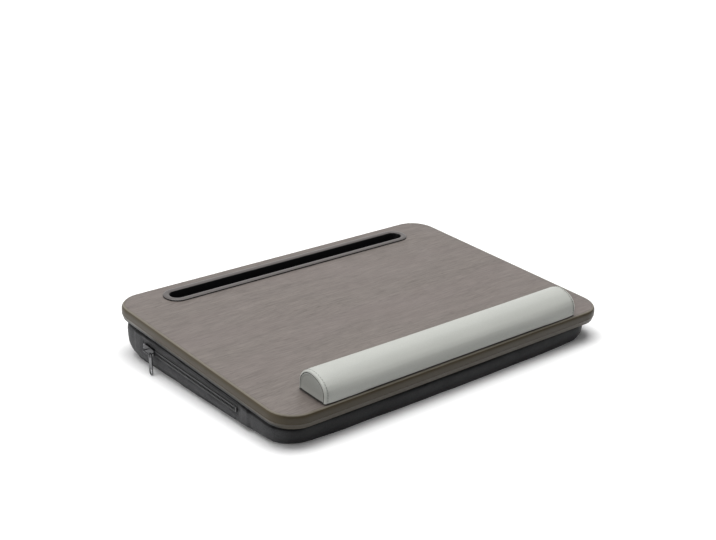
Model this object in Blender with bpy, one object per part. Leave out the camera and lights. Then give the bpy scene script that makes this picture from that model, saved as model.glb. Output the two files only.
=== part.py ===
"""Laptop cushion: a wood-look board with a slot tray and a padded wrist rest, on a zipped wedge cushion."""
from math import atan, cos, pi, radians, sin, tan

import bmesh
import bpy
from mathutils import Matrix, Vector

# Driving dimensions, in metres and degrees
FIT = 0.0003

BOARD_LENGTH = 0.550
BOARD_DEPTH = 0.393
BOARD_THICKNESS = 0.0178
BOARD_CORNER = 0.037
BOARD_TILT = radians(4.1)
BOARD_HEIGHT = 0.059
LAMINATE = 0.0008
BACKING = 0.0006

EDGE_SWELL = 0.0028
EDGE_SHOULDER = 0.0012
EDGE_BULGE = 0.0080
EDGE_CREASE = 0.0112
EDGE_LEDGE = 0.0003
EDGE_TUCK = 0.0021
BARB_DEPTH = 0.006
BARB_ROOT = 0.0022
BARB_TIP = 0.0012

SLOT_LENGTH = 0.410
SLOT_WIDTH = 0.022
SLOT_DEPTH = 0.012
SLOT_DRAFT = 0.0006
SLOT_FROM_REAR = 0.0365
TRAY_WALL = 0.0016
RIM_WIDTH = 0.009
RIM_HEIGHT = 0.0026

REST_LENGTH = 0.428
REST_DEPTH = 0.052
REST_HEIGHT = 0.0327
REST_FROM_FRONT = 0.004
REST_COVER = 0.0012
REST_END_DRAW = 0.0008
REST_END_RUN = 0.008
REST_BASE = 0.003
REST_SIDE_SHARE = 0.34
REST_CROWN_SHARE = 0.073
TAPE_THICKNESS = 0.0008
TAPE_WIDTH = 0.012
TAPE_SPREAD = 0.028
TAPE_END_GAP = 0.010

CUSHION_LENGTH = 0.537
CUSHION_SHIFT = -0.0034
CUSHION_FRONT_INSET = 0.0124
CUSHION_REAR_INSET = 0.0070
CUSHION_CORNER = 0.036
CUSHION_BOW = 0.004
COVER_CLOTH = 0.0015
TOP_CLOTH = 0.0012
TOP_DRAW = 0.003
ROUND_SHARE = 0.425
CORNER_SHARE = 0.14
WALL_SHARE = 0.90
SEAM_ANGLE = radians(50)

HOOK_THICKNESS = 0.0009
HOOK_WIDTH = 0.025
HOOK_INSET = 0.030

ZIP_REAR = 0.123
ZIP_LENGTH = 0.220
ZIP_END = 0.003
ZIP_OVERRUN = 0.006
ZIP_SHARE = 0.66
ZIP_WINDOW = 0.0126
ZIP_TAPE_WIDTH = 0.0150
ZIP_TAPE = 0.0008
CHAIN_WIDTH = 0.0070
CHAIN_SPLIT = 0.0012
CHAIN_SPINE = 0.0010
TOOTH_PITCH = 0.0028
TOOTH_LENGTH = 0.0015
TOOTH_TIP = 0.0009
TOOTH_PROUD = 0.0006
STOP_LENGTH = 0.0030

SLIDER_LENGTH = 0.024
SLIDER_WIDTH = 0.0110
SLIDER_NOSE = 0.0092
SLIDER_CORNER = 0.0022
SLIDER_PLATE = 0.0011
SLIDER_RUN = 0.0004
SLIDER_BACK_INSET = 0.001
LIP_DEPTH = 0.0022
NECK_LENGTH = 0.0045
NECK_THICKNESS = 0.0006
BRIDGE_WIRE = 0.0016
BRIDGE_SPAN = 0.0155
BRIDGE_RISE = 0.0060
BRIDGE_BEND = 0.0016

PULL_THICKNESS = 0.0014
PULL_REACH = 0.0293
PULL_WIDTH = 0.0076
PULL_TOP_WIDTH = 0.0064
PULL_WALL = 0.0012
EYE_WIDTH = 0.0030
EYE_LENGTH = 0.0060
LOOP_WIDTH = 0.0052
LOOP_LENGTH = 0.0080

CORNER_STEPS = 8
CUSHION_STEPS = 8
BOW_STEPS = 10
SWELL_STEPS = 6
RIM_STEPS = 8
DOME_STEPS = 6
ROUND_STEPS = 4
ARC_STEPS = 8
WIRE_STEPS = 3
CUT = 0.002

# Sizes and places worked out from the driving dimensions
CORE_INSET = EDGE_SWELL + EDGE_SHOULDER + FIT
CORE_TOP = -LAMINATE - FIT
CORE_BOTTOM = -BOARD_THICKNESS + BACKING + FIT
SLOT_Y = BOARD_DEPTH / 2 - SLOT_FROM_REAR
REST_Y = -BOARD_DEPTH / 2 + REST_FROM_FRONT + REST_DEPTH / 2
REST_SEAT = TAPE_THICKNESS + 2 * FIT
HOOK_STACK = 2 * HOOK_THICKNESS + 3 * FIT
CUSHION_DEPTH = BOARD_DEPTH - CUSHION_FRONT_INSET - CUSHION_REAR_INSET
CUSHION_Y = (CUSHION_FRONT_INSET - CUSHION_REAR_INSET) / 2
CUSHION_LEFT = CUSHION_SHIFT - CUSHION_LENGTH / 2
ZIP_FRONT = ZIP_REAR - ZIP_LENGTH
STOP_REAR = ZIP_REAR - ZIP_END - STOP_LENGTH
STOP_FRONT = ZIP_FRONT + ZIP_END + STOP_LENGTH
TAPE_FACE = COVER_CLOTH + FIT
TAPE_BACK = TAPE_FACE + ZIP_TAPE
TOOTH_BACK = TAPE_FACE - FIT
PLATE_INNER = -TOOTH_PROUD - SLIDER_RUN
PLATE_OUTER = PLATE_INNER - SLIDER_PLATE
BACK_PLATE = TAPE_BACK + SLIDER_RUN
SLIDER_REST = STOP_REAR - SLIDER_RUN - SLIDER_LENGTH / 2
BAR_X = PLATE_OUTER - BRIDGE_RISE
BRIDGE_FRONT = -SLIDER_LENGTH / 2 + BRIDGE_WIRE / 2 + FIT
PULL_X = BAR_X + BRIDGE_WIRE / 2 + FIT + PULL_THICKNESS / 2
EYE_DROP = EYE_WIDTH / 2 - BRIDGE_WIRE / 2 - FIT
LEFT_END = min(-BOARD_LENGTH / 2, CUSHION_LEFT + BAR_X - BRIDGE_WIRE / 2)
CENTRE_X = (BOARD_LENGTH / 2 + LEFT_END) / 2
CENTRE_Y = BOARD_THICKNESS / 2 * sin(BOARD_TILT)


def cushion_top(y):
    """Height of the cushion's sloping top at a distance y behind the board's middle."""
    return BOARD_HEIGHT + y * tan(BOARD_TILT) - (BOARD_THICKNESS + HOOK_STACK) / cos(BOARD_TILT)


# Scene, collections, frames and finishes
def clear_scene():
    for old in list(bpy.data.objects):
        bpy.data.objects.remove(old, do_unlink=True)


def collection(name):
    group = bpy.data.collections.get(name) or bpy.data.collections.new(name)
    if group.name not in bpy.context.scene.collection.children:
        bpy.context.scene.collection.children.link(group)
    return group


def frame(name, place, parent=None, turn=0):
    """An empty that carries pieces: its own place, turned about its parent's X axis."""
    empty = bpy.data.objects.new(name, None)
    empty.location = place
    empty.rotation_euler = (turn, 0, 0)
    empty.parent = parent
    collection("laptop_cushion").objects.link(empty)
    return empty


def finish(name, colour, roughness, metallic=0):
    material = bpy.data.materials.new(name)
    material.use_nodes = True
    shader = material.node_tree.nodes["Principled BSDF"]
    shader.inputs["Base Color"].default_value = (*colour, 1)
    shader.inputs["Roughness"].default_value = roughness
    shader.inputs["Metallic"].default_value = metallic
    return material


def place(data, name, parent, material=None, cutter=False):
    """Puts a mesh or curve in the scene as a named piece, or as a hidden cutting tool."""
    item = bpy.data.objects.new(name, data)
    item.parent = parent
    collection("cutters" if cutter else "laptop_cushion").objects.link(item)
    if material:
        data.materials.append(material)
    if cutter:
        item.hide_render = True
        item.display_type = "WIRE"
    return item


def combine(item, tool, operation):
    modifier = item.modifiers.new(tool.name, "BOOLEAN")
    modifier.operation = operation
    modifier.object = tool
    modifier.solver = "EXACT"


# Outlines and the solids lofted through them
def rounded_outline(length, depth, radius, steps=CORNER_STEPS):
    """A rectangle with round corners, as points paired with the direction that faces out there."""
    outline = []
    for quarter, (side_x, side_y) in enumerate(((1, 1), (-1, 1), (-1, -1), (1, -1))):
        corner = Vector((side_x * (length / 2 - radius), side_y * (depth / 2 - radius)))
        for step in range(steps + 1):
            angle = (quarter + step / steps) * pi / 2
            out = Vector((cos(angle), sin(angle)))
            outline.append((corner + radius * out, out))
    return outline


def level(length, depth, radius, inset, height, steps=CORNER_STEPS, y=0):
    """One closed ring of points, set in from a rounded rectangle's edge, at one height."""
    outline = rounded_outline(length - 2 * inset, depth - 2 * inset, radius - inset, steps)
    return [Vector((point.x, point.y + y, height)) for point, out in outline]


def loft(rings, endless=False, crease=radians(35)):
    """A closed solid through rings of points: capped at both ends, or joined end to end."""
    shape = bmesh.new()
    loops = [[shape.verts.new(point) for point in ring] for ring in rings]
    following = loops[1:] + loops[:1] if endless else loops[1:]
    for near, far in zip(loops, following):
        for corner in range(len(near)):
            shape.faces.new((near[corner - 1], near[corner], far[corner], far[corner - 1]))
    if not endless:
        shape.faces.new(loops[0])
        shape.faces.new(reversed(loops[-1]))
    bmesh.ops.recalc_face_normals(shape, faces=shape.faces)
    mesh = bpy.data.meshes.new("loft")
    shape.to_mesh(mesh)
    shape.free()
    mesh.shade_smooth()
    mesh.set_sharp_from_angle(angle=crease)
    return mesh


def block(low, high):
    """A box between two opposite corners."""
    shape = bmesh.new()
    size = Vector(high) - Vector(low)
    middle = (Vector(high) + Vector(low)) / 2
    bmesh.ops.create_cube(shape, size=1, matrix=Matrix.Translation(middle) @ Matrix.Diagonal((*size, 1)))
    mesh = bpy.data.meshes.new("block")
    shape.to_mesh(mesh)
    shape.free()
    return mesh


def sheet(outlines, thickness):
    """A flat filled outline with its holes, as a curve with thickness."""
    curve = bpy.data.curves.new("sheet", "CURVE")
    curve.dimensions = "2D"
    curve.fill_mode = "BOTH"
    curve.extrude = thickness / 2
    for outline in outlines:
        spline = curve.splines.new("POLY")
        spline.points.add(len(outline) - 1)
        for point, (x, y) in zip(spline.points, outline):
            point.co = (x, y, 0, 1)
        spline.use_cyclic_u = True
    return curve


def flat(ring):
    return [(point.x, point.y) for point in ring]


def board_ring(inset, height):
    return level(BOARD_LENGTH, BOARD_DEPTH, BOARD_CORNER, inset, height)


def slot_ring(out, height):
    """A ring round the slot's mouth, set out from its wall."""
    length = SLOT_LENGTH + 2 * out
    width = SLOT_WIDTH + 2 * out
    return level(length, width, width / 2, 0, height, CORNER_STEPS, SLOT_Y)


# The board and what is let into it
def make_board_core(board):
    half_root = BARB_ROOT / 2 + FIT
    groove_end = CORE_INSET + BARB_DEPTH
    middle = -BOARD_THICKNESS / 2
    rings = [
        board_ring(CORE_INSET, CORE_TOP),
        board_ring(CORE_INSET, middle + half_root),
        board_ring(groove_end, middle + half_root),
        board_ring(groove_end, middle - half_root),
        board_ring(CORE_INSET, middle - half_root),
        board_ring(CORE_INSET, CORE_BOTTOM),
    ]
    core = place(loft(rings), "board_core", board, finish("fibreboard", (0.32, 0.22, 0.13), 0.85))
    pocket_floor = -SLOT_DEPTH - TRAY_WALL - FIT
    rings = [slot_ring(TRAY_WALL + FIT, pocket_floor), slot_ring(TRAY_WALL + FIT, CUT)]
    pocket = place(loft(rings), "tray_pocket", board, cutter=True)
    combine(core, pocket, "DIFFERENCE")


def make_top_laminate(board):
    outlines = [flat(board_ring(CORE_INSET, 0)), flat(slot_ring(TRAY_WALL + FIT, 0))]
    skin = place(sheet(outlines, LAMINATE), "top_laminate", board, finish("walnut", (0.24, 0.22, 0.20), 0.5))
    skin.location.z = -LAMINATE / 2


def make_backing_sheet(board):
    outlines = [flat(board_ring(CORE_INSET, 0))]
    skin = place(sheet(outlines, BACKING), "backing_sheet", board, finish("backing", (0.05, 0.05, 0.05), 0.7))
    skin.location.z = -BOARD_THICKNESS + BACKING / 2


def make_edge_band(board):
    """The strip round the board: rounded down to a crease, bevelled below it, barbed into the core."""
    middle = -BOARD_THICKNESS / 2
    rings = []
    for step in range(SWELL_STEPS + 1):
        share = 1 - step / SWELL_STEPS
        rings.append(board_ring(EDGE_SWELL * share ** 4, EDGE_BULGE * (share - 1)))
    inner = EDGE_SWELL + EDGE_SHOULDER
    rings += [
        board_ring(0, -EDGE_CREASE),
        board_ring(EDGE_LEDGE, -EDGE_CREASE - EDGE_LEDGE),
        board_ring(EDGE_TUCK, -BOARD_THICKNESS),
        board_ring(inner, -BOARD_THICKNESS),
        board_ring(inner, middle - BARB_ROOT / 2),
        board_ring(inner + BARB_DEPTH, middle - BARB_TIP / 2),
        board_ring(inner + BARB_DEPTH, middle + BARB_TIP / 2),
        board_ring(inner, middle + BARB_ROOT / 2),
        board_ring(inner, 0),
    ]
    place(loft(rings, endless=True), "edge_band", board, finish("edge_vinyl", (0.10, 0.085, 0.06), 0.45))


def make_slot_tray(board):
    """The dark insert: a shallow trough hung from a low rounded rim."""
    rings = [slot_ring(-SLOT_DRAFT, -SLOT_DEPTH)]
    for step in range(RIM_STEPS + 1):
        angle = pi * step / RIM_STEPS
        out = RIM_WIDTH * (1 - cos(angle)) / 2
        rings.append(slot_ring(out, FIT + (RIM_HEIGHT - FIT) * max(sin(angle), 0) ** 0.6))
    rings.append(slot_ring(TRAY_WALL, FIT))
    rings.append(slot_ring(TRAY_WALL, -SLOT_DEPTH - TRAY_WALL))
    place(loft(rings), "slot_tray", board, finish("tray_plastic", (0.012, 0.012, 0.013), 0.3))


# The wrist rest
def rest_section(x, grow, bottom):
    """The rest's domed cross-section at one place along it, grown in or out from its skin."""
    front = REST_DEPTH / 2 + grow
    crown = REST_DEPTH * REST_CROWN_SHARE
    side = REST_HEIGHT * REST_SIDE_SHARE
    top = REST_HEIGHT + grow - side
    points = [(-front, bottom)]
    for step in range(2 * DOME_STEPS + 1):
        angle = pi / 2 * step / DOME_STEPS
        run = front + crown if step < DOME_STEPS else front - crown
        points.append((crown - run * cos(angle), side + top * sin(angle)))
    points.append((front, bottom))
    return [Vector((x, REST_Y + y, z)) for y, z in points]


def rest_stations(end_gap):
    """Places along the rest, with how far its skin is drawn in at each: only near the ends."""
    end = REST_LENGTH / 2 - end_gap
    run = REST_LENGTH / 2 - REST_END_RUN
    drawn = [(0, REST_END_DRAW), (1 / 4, REST_END_DRAW * 7 / 16), (1, 0)]
    right = [(end + share * (run - end), draw) for share, draw in drawn]
    return [(-x, draw) for x, draw in right] + [(x, draw) for x, draw in reversed(right)]


def make_rest_cover(board):
    stations = rest_stations(REST_COVER + FIT)
    skin = [rest_section(x, -draw, REST_SEAT) for x, draw in stations]
    lining = [rest_section(x, -draw - REST_COVER, REST_SEAT + REST_COVER) for x, draw in stations]
    cover = loft(skin + lining[::-1], endless=True)
    place(cover, "rest_cover", board, finish("leatherette", (0.52, 0.53, 0.49), 0.5))


def make_rest_ends(board):
    for name, side in (("rest_end_left", -1), ("rest_end_right", 1)):
        inner = side * (REST_LENGTH / 2 - REST_COVER)
        outer = side * REST_LENGTH / 2
        rings = [
            rest_section(inner, -REST_END_DRAW, REST_SEAT),
            rest_section((inner + outer) / 2, -REST_END_DRAW, REST_SEAT),
            rest_section(outer, -REST_END_DRAW - REST_COVER / 2, REST_SEAT + REST_COVER / 2),
        ]
        place(loft(rings), name, board, finish(name, (0.50, 0.51, 0.47), 0.5))


def make_rest_foam(board):
    bottom = REST_SEAT + REST_COVER + REST_BASE + 2 * FIT
    gap = REST_COVER + FIT
    rings = [rest_section(x, -draw - gap, bottom) for x, draw in rest_stations(gap)]
    place(loft(rings), "rest_foam", board, finish("rest_foam", (0.75, 0.72, 0.60), 0.95))


def make_rest_base(board):
    length = REST_LENGTH / 2 - REST_COVER - FIT
    half = REST_DEPTH / 2 - REST_END_DRAW - REST_COVER - FIT
    bottom = REST_SEAT + REST_COVER + FIT
    base = block((-length, REST_Y - half, bottom), (length, REST_Y + half, bottom + REST_BASE))
    place(base, "rest_base", board, finish("rest_base", (0.05, 0.05, 0.05), 0.6))


def make_rest_tapes(board):
    length = REST_LENGTH / 2 - TAPE_END_GAP
    for name, side in (("rest_tape_front", -1), ("rest_tape_rear", 1)):
        y = REST_Y + side * TAPE_SPREAD / 2
        low = (-length, y - TAPE_WIDTH / 2, FIT)
        high = (length, y + TAPE_WIDTH / 2, FIT + TAPE_THICKNESS)
        place(block(low, high), name, board, finish(name, (0.02, 0.02, 0.02), 0.8))


# The wedge cushion
def cushion_outline():
    """The cushion's plan: a rounded rectangle whose front and rear sides are bowed out."""
    corners = rounded_outline(CUSHION_LENGTH, CUSHION_DEPTH, CUSHION_CORNER, CUSHION_STEPS)
    half = len(corners) // 2
    flat_length = CUSHION_LENGTH - 2 * CUSHION_CORNER
    spots = [flat_length * (1 / 2 - step / BOW_STEPS) for step in range(1, BOW_STEPS)]
    rear = [(Vector((x, CUSHION_DEPTH / 2)), Vector((0, 1))) for x in spots]
    front = [(-point, -out) for point, out in rear]
    quarter = half // 2
    plan = corners[:quarter] + rear + corners[quarter:half + quarter] + front + corners[half + quarter:]
    outline = []
    for point, out in plan:
        bow = CUSHION_BOW * (1 - (2 * point.x / CUSHION_LENGTH) ** 2)
        middle = Vector((CUSHION_SHIFT, CUSHION_Y + (bow if point.y > 0 else -bow)))
        outline.append((point + middle, out))
    return outline


def lower_radius(point, out):
    """Radius of the rounded lower edge: a share of the local height, and larger at the corners."""
    return (ROUND_SHARE + CORNER_SHARE * abs(2 * out.x * out.y)) * cushion_top(point.y)


def round_ring(angle, inside):
    """A ring on the rounded lower edge: a right angle is the flat underside, zero the upright side."""
    ring = []
    for point, out in cushion_outline():
        radius = lower_radius(point, out)
        spot = point - out * (radius - (radius - inside) * cos(angle))
        ring.append(Vector((*spot, radius - (radius - inside) * sin(angle))))
    return ring


def side_ring(share, inset, below=0):
    """A ring at a share of the cushion's height, set in from its side and lowered from there."""
    ring = []
    for point, out in cushion_outline():
        spot = point - out * inset
        ring.append(Vector((*spot, share * cushion_top(spot.y) - below)))
    return ring


def lower_rings(first, last, inside):
    steps = [first + (last - first) * step / ROUND_STEPS for step in range(ROUND_STEPS + 1)]
    return [round_ring(angle, inside) for angle in steps]


def upper_rings(inside):
    """The wall's upper edge, drawn in under the board."""
    middle = (1 + WALL_SHARE) / 2
    draws = ((WALL_SHARE, 0), (middle, TOP_DRAW / 4), (1, TOP_DRAW))
    return [side_ring(share, draw + inside) for share, draw in draws]


def make_bottom_panel(cushion):
    gap = FIT / (ROUND_SHARE * cushion_top(-CUSHION_DEPTH / 2))
    outer = lower_rings(pi / 2, SEAM_ANGLE + gap, 0)
    inner = lower_rings(SEAM_ANGLE + gap, pi / 2, COVER_CLOTH)
    place(loft(outer + inner), "cushion_bottom_panel", cushion, finish("bottom_cloth", (0.03, 0.03, 0.032), 0.9))


def make_gusset(cushion, zip_line):
    """The upright cloth wall, drawn in under the board, with a window for the zip."""
    outer = lower_rings(SEAM_ANGLE, 0, 0) + upper_rings(0)
    inner = upper_rings(COVER_CLOTH)[::-1] + lower_rings(0, SEAM_ANGLE, COVER_CLOTH)
    wall = loft(outer + inner, endless=True)
    gusset = place(wall, "cushion_gusset", cushion, finish("gusset_cloth", (0.045, 0.045, 0.047), 0.9))
    half = ZIP_WINDOW / 2
    window = block((-CUT, ZIP_FRONT, -half), (COVER_CLOTH + CUT, ZIP_REAR, half))
    combine(gusset, place(window, "zip_window", zip_line, cutter=True), "DIFFERENCE")


def make_top_panel(cushion):
    inset = TOP_DRAW + COVER_CLOTH + FIT
    rings = [side_ring(1, inset, TOP_CLOTH), side_ring(1, inset)]
    place(loft(rings), "cushion_top_panel", cushion, finish("top_cloth", (0.03, 0.03, 0.032), 0.9))


def make_filling(cushion, zip_line):
    """The foam wedge inside the cover, with a shallow channel behind the zip."""
    gap = COVER_CLOTH + FIT
    rings = lower_rings(pi / 2, 0, gap)
    rings += [side_ring(WALL_SHARE, gap), side_ring(1, TOP_DRAW + gap, TOP_CLOTH + 2 * FIT)]
    foam = place(loft(rings), "cushion_filling", cushion, finish("cushion_foam", (0.60, 0.58, 0.50), 0.95))
    half = ZIP_TAPE_WIDTH / 2 + SLIDER_RUN
    back = BACK_PLATE + SLIDER_PLATE + SLIDER_RUN
    reach = ZIP_OVERRUN + SLIDER_RUN
    channel = block((-CUT, ZIP_FRONT - reach, -half), (back, ZIP_REAR + reach, half))
    combine(foam, place(channel, "zip_channel", zip_line, cutter=True), "DIFFERENCE")


def make_fixing_strips(board):
    """Pairs of hook and loop strips, side by side from front to rear, that hold the cushion on."""
    length = CUSHION_LENGTH / 2 - HOOK_INSET
    run = CUSHION_DEPTH - 2 * HOOK_INSET - HOOK_WIDTH
    hook_top = -BOARD_THICKNESS - FIT
    loop_top = hook_top - HOOK_THICKNESS - FIT
    for strip, spot in enumerate(("front", "middle", "rear")):
        y = CUSHION_Y - run / 2 + run * strip / 2
        for kind, top, shade in (("hook", hook_top, 0.02), ("loop", loop_top, 0.03)):
            low = (CUSHION_SHIFT - length, y - HOOK_WIDTH / 2, top - HOOK_THICKNESS)
            high = (CUSHION_SHIFT + length, y + HOOK_WIDTH / 2, top)
            name = f"{kind}_strip_{spot}"
            place(block(low, high), name, board, finish(name, (shade, shade, shade), 0.9))


# The zip on the left side, in its own frame: Y along it, Z across it, outward towards -X
def make_zip_tapes(zip_line):
    for name, side in (("zip_tape_upper", 1), ("zip_tape_lower", -1)):
        edges = sorted((side * (CHAIN_SPLIT / 2 + FIT), side * ZIP_TAPE_WIDTH / 2))
        low = (TAPE_FACE, ZIP_FRONT - ZIP_OVERRUN, edges[0])
        high = (TAPE_BACK, ZIP_REAR + ZIP_OVERRUN, edges[1])
        place(block(low, high), name, zip_line, finish(name, (0.02, 0.02, 0.022), 0.85))


def tooth_row(side, offset):
    """The outline of one row: a backbone on the tape's edge, and teeth that narrow to the middle."""
    tip = CHAIN_SPLIT / 2
    root = CHAIN_WIDTH / 2 - CHAIN_SPINE
    start = STOP_FRONT + FIT
    end = STOP_REAR - FIT
    count = int((end - start - offset) / TOOTH_PITCH)
    outline = [(end, CHAIN_WIDTH / 2), (start, CHAIN_WIDTH / 2), (start, root)]
    for tooth in range(count):
        middle = start + offset + TOOTH_PITCH * (tooth + 1 / 2)
        for along, across in ((-TOOTH_LENGTH, root), (-TOOTH_TIP, tip), (TOOTH_TIP, tip), (TOOTH_LENGTH, root)):
            outline.append((middle + along / 2, across))
    outline.append((end, root))
    return [Vector((y, side * across)) for y, across in outline]


def make_zip_teeth(zip_line):
    thickness = TOOTH_BACK + TOOTH_PROUD
    for name, side, offset in (("zip_teeth_upper", 1, 0), ("zip_teeth_lower", -1, TOOTH_PITCH / 2)):
        row = sheet([tooth_row(side, offset)], thickness)
        teeth = place(row, name, zip_line, finish(name, (0.03, 0.03, 0.03), 0.45))
        teeth.location.x = TOOTH_BACK - thickness / 2
        teeth.rotation_euler = (pi / 2, 0, pi / 2)


def make_zip_stops(zip_line):
    half = CHAIN_WIDTH / 2
    inner = CHAIN_SPLIT / 2
    front = STOP_FRONT - STOP_LENGTH
    rear = STOP_REAR + STOP_LENGTH
    stops = (
        ("zip_bottom_stop", front, STOP_FRONT, -half, half),
        ("zip_top_stop_upper", STOP_REAR, rear, inner, half),
        ("zip_top_stop_lower", STOP_REAR, rear, -half, -inner),
    )
    for name, near, far, low, high in stops:
        clamp = block((-TOOTH_PROUD, near, low), (TOOTH_BACK, far, high))
        place(clamp, name, zip_line, finish(name, (0.03, 0.03, 0.03), 0.4, 1))


def slider_prism(low, high, inset):
    """A plate with the slider's outline: round corners, narrower at its front end."""
    outline = rounded_outline(SLIDER_LENGTH - 2 * inset, SLIDER_WIDTH - 2 * inset, SLIDER_CORNER, WIRE_STEPS)
    rings = []
    for x in (low, high):
        ring = []
        for point, out in outline:
            forward = 1 / 2 - point.x / SLIDER_LENGTH
            taper = 1 - forward * (1 - SLIDER_NOSE / SLIDER_WIDTH)
            ring.append(Vector((x, point.x, point.y * taper)))
        rings.append(ring)
    return loft(rings)


def bridge_points():
    """The raised bar over the slider, square to its plate at both feet and bent by a quarter turn."""
    foot = PLATE_OUTER + SLIDER_PLATE / 2
    rear = BRIDGE_FRONT + BRIDGE_SPAN
    turns = [pi / 2 * step / WIRE_STEPS for step in range(WIRE_STEPS + 1)]
    route = [(BAR_X + BRIDGE_BEND * (1 - sin(turn)), BRIDGE_BEND * (1 - cos(turn))) for turn in turns]
    points = [(foot, BRIDGE_FRONT)] + [(x, BRIDGE_FRONT + along) for x, along in route]
    return points + [(x, rear - along) for x, along in reversed(route)] + [(foot, rear)]


def bridge_mesh():
    """The bar as a closed round wire."""
    curve = bpy.data.curves.new("bridge", "CURVE")
    curve.dimensions = "3D"
    curve.bevel_depth = BRIDGE_WIRE / 2
    curve.bevel_resolution = 2
    curve.use_fill_caps = True
    spline = curve.splines.new("POLY")
    route = bridge_points()
    spline.points.add(len(route) - 1)
    for point, (x, y) in zip(spline.points, route):
        point.co = (x, y, 0, 1)
    wire = bpy.data.objects.new("bridge", curve)
    bpy.context.scene.collection.objects.link(wire)
    bpy.context.view_layer.update()
    mesh = bpy.data.meshes.new_from_object(wire.evaluated_get(bpy.context.evaluated_depsgraph_get()))
    bpy.data.objects.remove(wire, do_unlink=True)
    shape = bmesh.new()
    shape.from_mesh(mesh)
    bmesh.ops.remove_doubles(shape, verts=shape.verts, dist=FIT / 100)
    bmesh.ops.recalc_face_normals(shape, faces=shape.faces)
    shape.to_mesh(mesh)
    shape.free()
    return mesh


def make_slider(travel):
    """The slider: two plates joined by a thin neck, lips round the chain, and a bridge for the pull."""
    lip = PLATE_INNER + LIP_DEPTH
    chrome = finish("slider", (0.16, 0.16, 0.17), 0.25, 1)
    body = place(slider_prism(PLATE_OUTER, lip, 0), "zip_slider", travel, chrome)
    half = CHAIN_WIDTH / 2 + SLIDER_RUN
    reach = SLIDER_LENGTH / 2 + CUT
    channel = block((PLATE_INNER, -reach, -half), (lip + CUT, reach, half))
    combine(body, place(channel, "slider_channel", travel, cutter=True), "DIFFERENCE")
    back = slider_prism(BACK_PLATE, BACK_PLATE + SLIDER_PLATE, SLIDER_BACK_INSET)
    rear = SLIDER_LENGTH / 2 - SLIDER_CORNER
    low = (PLATE_INNER - SLIDER_PLATE / 2, rear - NECK_LENGTH, -NECK_THICKNESS / 2)
    neck = block(low, (BACK_PLATE + SLIDER_PLATE / 2, rear, NECK_THICKNESS / 2))
    for name, mesh in (("slider_neck", neck), ("slider_back", back), ("slider_bridge", bridge_mesh())):
        combine(body, place(mesh, name, travel, cutter=True), "UNION")


def arc(centre_y, radius, start, end):
    """Points on a round stretch of an outline centred on x = 0, from one angle to another."""
    angles = [start + (end - start) * step / ARC_STEPS for step in range(ARC_STEPS + 1)]
    return [(radius * cos(angle), centre_y + radius * sin(angle)) for angle in angles]


def capsule(top, top_radius, bottom, bottom_radius):
    """An upright outline with a round end at each height, tapered if the two radii differ."""
    return arc(top - top_radius, top_radius, 0, pi) + arc(bottom + bottom_radius, bottom_radius, pi, 2 * pi)


def make_pull(hinge):
    """The hanging pull: a flat tag with a long eye round the bridge's foot and a loop at its end."""
    eye_top = EYE_WIDTH / 2 - EYE_DROP
    loop_bottom = PULL_WALL - PULL_REACH
    outline = capsule(eye_top + PULL_WALL, PULL_TOP_WIDTH / 2, -PULL_REACH, PULL_WIDTH / 2)
    eye = capsule(eye_top, EYE_WIDTH / 2, eye_top - EYE_LENGTH, EYE_WIDTH / 2)
    loop = capsule(loop_bottom + LOOP_LENGTH, LOOP_WIDTH / 2, loop_bottom, LOOP_WIDTH / 2)
    plate = sheet([outline, eye, loop], PULL_THICKNESS)
    pull = place(plate, "zip_pull", hinge, finish("pull", (0.16, 0.16, 0.17), 0.25, 1))
    pull.rotation_euler = (pi / 2, 0, pi / 2)


def build():
    clear_scene()
    origin = frame("cushion_frame", (-CENTRE_X, -CENTRE_Y, 0))
    board = frame("board_frame", (0, 0, BOARD_HEIGHT), origin, BOARD_TILT)
    slope = atan(ZIP_SHARE * tan(BOARD_TILT))
    zip_line = frame("zip_frame", (CUSHION_LEFT, 0, ZIP_SHARE * cushion_top(0)), origin, slope)
    travel = frame("slider_travel", (0, SLIDER_REST, 0), zip_line)
    hinge = frame("pull_hinge", (PULL_X, BRIDGE_FRONT, 0), travel, -slope)

    make_board_core(board)
    make_top_laminate(board)
    make_backing_sheet(board)
    make_edge_band(board)
    make_slot_tray(board)

    make_rest_cover(board)
    make_rest_ends(board)
    make_rest_foam(board)
    make_rest_base(board)
    make_rest_tapes(board)

    make_fixing_strips(board)
    make_top_panel(origin)
    make_gusset(origin, zip_line)
    make_bottom_panel(origin)
    make_filling(origin, zip_line)

    make_zip_tapes(zip_line)
    make_zip_teeth(zip_line)
    make_zip_stops(zip_line)
    make_slider(travel)
    make_pull(hinge)
    bpy.context.view_layer.update()


build()
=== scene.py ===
"""Dresses the lap desk: finishes, soft cushion and wrist rest, sewn details, light and camera."""

from math import asin, atan, cos, hypot, pi, radians, sin, tan

import bmesh
import bpy
import numpy as np
from mathutils import Matrix, Vector, noise


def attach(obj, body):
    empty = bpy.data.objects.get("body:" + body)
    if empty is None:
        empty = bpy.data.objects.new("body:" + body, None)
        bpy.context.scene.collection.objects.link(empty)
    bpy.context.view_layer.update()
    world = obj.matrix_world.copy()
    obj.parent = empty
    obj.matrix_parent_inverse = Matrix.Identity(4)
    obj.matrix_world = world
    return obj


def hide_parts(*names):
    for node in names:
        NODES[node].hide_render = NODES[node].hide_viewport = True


bl_info = {
    "name": "Lap Desk",
    "version": (1, 0, 0),
    "blender": (4, 5, 0),
    "location": "View3D > Sidebar > Lap Desk",
    "description": "Builds the looks of a lap desk with a cushion, a slot tray and a wrist rest",
    "category": "Add Mesh",
}

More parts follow.
